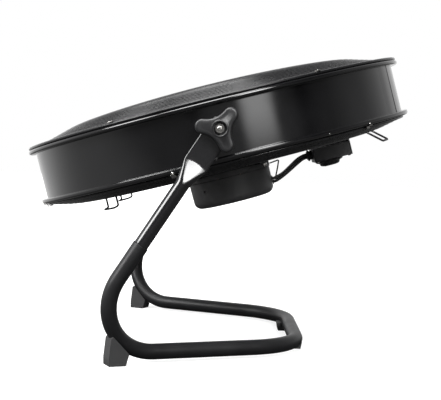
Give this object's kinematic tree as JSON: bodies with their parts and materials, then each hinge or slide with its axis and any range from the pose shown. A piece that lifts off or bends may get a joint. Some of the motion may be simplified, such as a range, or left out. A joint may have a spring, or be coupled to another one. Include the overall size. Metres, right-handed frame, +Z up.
{
  "type": "axial air mover",
  "caption": "Drum-type axial air mover: a shallow steel drum with wire grilles, tilting between the arms of a bent-tube stand, with a motor and a switch box behind.",
  "frame": {"origin": "on the floor, below the tilt axis, in the middle plane of the stand", "axes": "+Z up; +Y along the tilt axis, from the left arm to the right arm; +X towards the front cross tube of the stand, which is under the raised edge of the drum"},
  "size_m": [0.6747, 0.727, 0.5139],
  "materials": {
    "black_paint": "satin",
    "black_wire": "satin",
    "black_plastic": "satin",
    "black_rubber": "matt",
    "zinc_plate": "satin",
    "nylon": "matt",
    "aluminium": "satin",
    "lamination_steel": "matt",
    "copper": "satin"
  },
  "bodies": {
    "stand": {"arm_screw_left": "zinc_plate", "arm_screw_right": "zinc_plate", "base_tube": "black_paint", "front_foot_left": "black_rubber", "front_foot_right": "black_rubber", "rear_foot_left": "black_rubber", "rear_foot_left_screw": "zinc_plate", "rear_foot_right": "black_rubber", "rear_foot_right_screw": "zinc_plate", "upper_arm_left": "black_paint", "upper_arm_right": "black_paint"},
    "drum": {"bearing_front": "zinc_plate", "bearing_rear": "zinc_plate", "cord_hook_front": "black_wire", "cord_hook_left": "black_wire", "cord_hook_right": "black_wire", "drum_shell": "black_paint", "front_clip_1": "zinc_plate", "front_clip_2": "zinc_plate", "front_clip_3": "zinc_plate", "front_clip_4": "zinc_plate", "front_clip_5": "zinc_plate", "front_clip_6": "zinc_plate", "front_grille": "black_wire", "lead_clip": "black_wire", "lead_gland": "black_plastic", "motor_end_shield": "black_paint", "motor_lead": "black_rubber", "motor_mount_plate": "black_paint", "motor_pot": "black_paint", "pivot_nut_left": "zinc_plate", "pivot_nut_right": "zinc_plate", "pivot_spacer_left": "nylon", "pivot_spacer_right": "nylon", "rear_clip_1": "zinc_plate", "rear_clip_2": "zinc_plate", "rear_clip_3": "zinc_plate", "rear_clip_4": "zinc_plate", "rear_clip_5": "zinc_plate", "rear_clip_6": "zinc_plate", "rear_grille": "black_wire", "rotary_switch": "nylon", "run_capacitor": "nylon", "stator_core": "lamination_steel", "stator_winding_front": "copper", "stator_winding_rear": "copper", "switch_box": "black_plastic", "switch_box_lid": "black_plastic"},
    "fan": {"fan_blades": "aluminium", "fan_hub": "aluminium", "hub_set_screw": "zinc_plate", "motor_shaft": "zinc_plate", "rotor_core": "lamination_steel"},
    "speed_knob": {"speed_knob": "black_plastic"},
    "left_clamp_washer": {"clamp_washer_left": "zinc_plate"},
    "left_clamp_knob": {"clamp_knob_left": "black_plastic", "clamp_bolt_left": "zinc_plate"},
    "right_clamp_washer": {"clamp_washer_right": "zinc_plate"},
    "right_clamp_knob": {"clamp_knob_right": "black_plastic", "clamp_bolt_right": "zinc_plate"}
  },
  "joints": [
    {"name": "drum_tilt", "type": "hinge", "parent": "stand", "child": "drum", "pos_m": [0, 0, 0.3702], "axis": [0, 1, 0], "continuous": true},
    {"name": "fan_spin", "type": "hinge", "parent": "drum", "child": "fan", "pos_m": [0, 0, 0.3702], "axis": [-0.279, 0, 0.9603], "continuous": true},
    {"name": "speed_select", "type": "hinge", "parent": "drum", "child": "speed_knob", "pos_m": [0.20315, 0, 0.32509], "axis": [-0.279, 0, 0.9603], "range_deg": [0, 135]},
    {"name": "left_clamp_turn", "type": "hinge", "parent": "left_clamp_washer", "child": "left_clamp_knob", "pos_m": [0, -0.3545, 0.3702], "axis": [0, -1, 0], "range_deg": [0, 360]},
    {"name": "left_clamp_travel", "type": "slide", "parent": "drum", "child": "left_clamp_washer", "axis": [0, -1, 0], "range_m": [0, 0.00125]},
    {"name": "right_clamp_turn", "type": "hinge", "parent": "right_clamp_washer", "child": "right_clamp_knob", "pos_m": [0, 0.3545, 0.3702], "axis": [0, 1, 0], "range_deg": [0, 360]},
    {"name": "right_clamp_travel", "type": "slide", "parent": "drum", "child": "right_clamp_washer", "axis": [0, 1, 0], "range_m": [0, 0.00125]}
  ],
  "couplings": [
    {"joint": "left_clamp_travel", "follows": "left_clamp_turn", "m_per_rad": 0.000198},
    {"joint": "right_clamp_travel", "follows": "right_clamp_turn", "m_per_rad": 0.000198}
  ]
}
